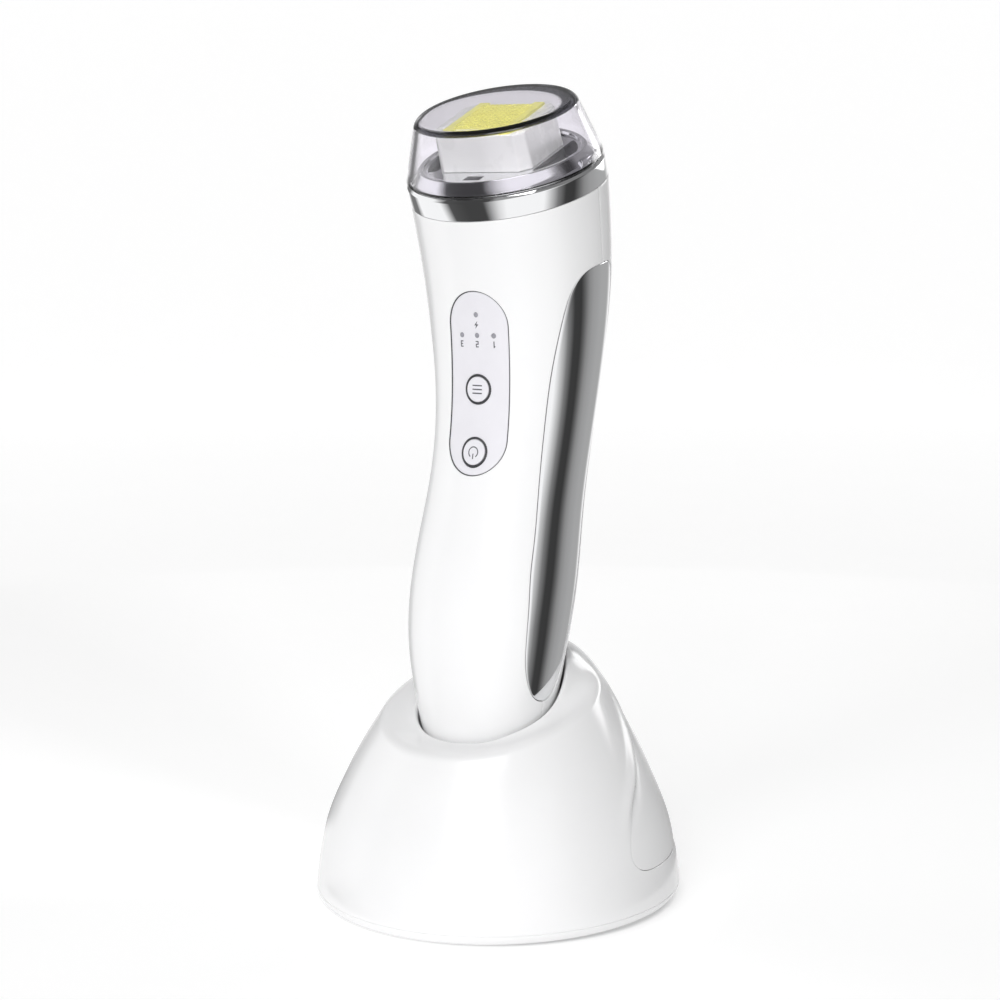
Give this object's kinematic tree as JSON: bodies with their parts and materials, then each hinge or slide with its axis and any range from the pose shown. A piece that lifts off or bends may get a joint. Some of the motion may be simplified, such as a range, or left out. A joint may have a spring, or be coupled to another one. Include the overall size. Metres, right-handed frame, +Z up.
{
  "type": "skin tightening device",
  "caption": "Curved handheld skin tightening device with chrome side strips, a dotted treatment plate under a clear pull-off cap, press buttons and a domed charging base it lifts out of.",
  "frame": {"origin": "on the table under the middle of the charging base's outline", "axes": "+Z up, the control panel faces -Y, +X to the right seen from the panel side"},
  "size_m": [0.0904, 0.0958, 0.2023],
  "materials": {
    "white_shell": "gloss",
    "chrome_trim": "mirror polish",
    "panel_inlay": "satin",
    "dark_ring": "satin",
    "light_lens": "translucent",
    "circuit_board": "solder mask",
    "chip_body": "moulded",
    "led_body": "diffuse",
    "screw_steel": "plated",
    "inner_plastic": "moulded",
    "copper_wire": "enamelled copper",
    "cell_wrap": "shrink wrapped can",
    "gold_contact": "gold plated",
    "head_white": "satin",
    "clear_cap": "clear",
    "foot_rubber": "matt"
  },
  "bodies": {
    "base": {"base_shell": "white_shell", "base_rear_cover": "white_shell", "base_floor": "white_shell", "rubber_feet": "foot_rubber", "base_screws": "screw_steel", "charge_board": "circuit_board", "charge_board_screws": "screw_steel", "usb_socket": "screw_steel", "socket_tongue": "chip_body", "pin_housing": "inner_plastic", "contact_spring_left": "screw_steel", "contact_spring_right": "screw_steel"},
    "handset": {"front_shell": "white_shell", "rear_shell": "white_shell", "screw_plugs": "white_shell", "side_electrode_left": "chrome_trim", "side_electrode_right": "chrome_trim", "lower_trim_ring": "chrome_trim", "head_collar": "chrome_trim", "control_panel": "panel_inlay", "button_bezels": "dark_ring", "charge_light": "light_lens", "level_lights": "light_lens", "main_board": "circuit_board", "head_board": "circuit_board", "board_chips": "chip_body", "switch_bodies": "chip_body", "indicator_leds": "led_body", "board_screws": "screw_steel", "shell_screws": "screw_steel", "coil_former": "inner_plastic", "battery_holder": "inner_plastic", "contact_block": "inner_plastic", "coil_winding": "copper_wire", "head_leads": "copper_wire", "battery_cell": "cell_wrap", "charge_contacts": "gold_contact", "electrode_plate": "gold_contact", "head_block": "head_white"},
    "mode_button": {"mode_button": "white_shell", "mode_plunger": "inner_plastic"},
    "power_button": {"power_button": "white_shell", "power_plunger": "inner_plastic"},
    "cap": {"protective_cap": "clear_cap"},
    "pin_left": {"contact_pin_left": "gold_contact"},
    "pin_right": {"contact_pin_right": "gold_contact"}
  },
  "joints": [
    {"name": "handset_lift", "type": "slide", "parent": "base", "child": "handset", "axis": [0, 0, 1], "range_m": [0, 0.09]},
    {"name": "cap_pull", "type": "slide", "parent": "handset", "child": "cap", "axis": [0, -0.3736, 0.9276], "range_m": [0, 0.05]},
    {"name": "mode_press", "type": "slide", "parent": "handset", "child": "mode_button", "axis": [0, 1, 0], "range_m": [0, 0.0005], "stiffness_N_per_m": 600},
    {"name": "power_press", "type": "slide", "parent": "handset", "child": "power_button", "axis": [0, 1, 0], "range_m": [0, 0.0005], "stiffness_N_per_m": 600},
    {"name": "pin_press_left", "type": "slide", "parent": "base", "child": "pin_left", "axis": [0, 0, -1], "range_m": [0, 0.0008], "stiffness_N_per_m": 400, "deforming": ["contact_spring_left"]},
    {"name": "pin_press_right", "type": "slide", "parent": "base", "child": "pin_right", "axis": [0, 0, -1], "range_m": [0, 0.0008], "stiffness_N_per_m": 400, "deforming": ["contact_spring_right"]}
  ]
}
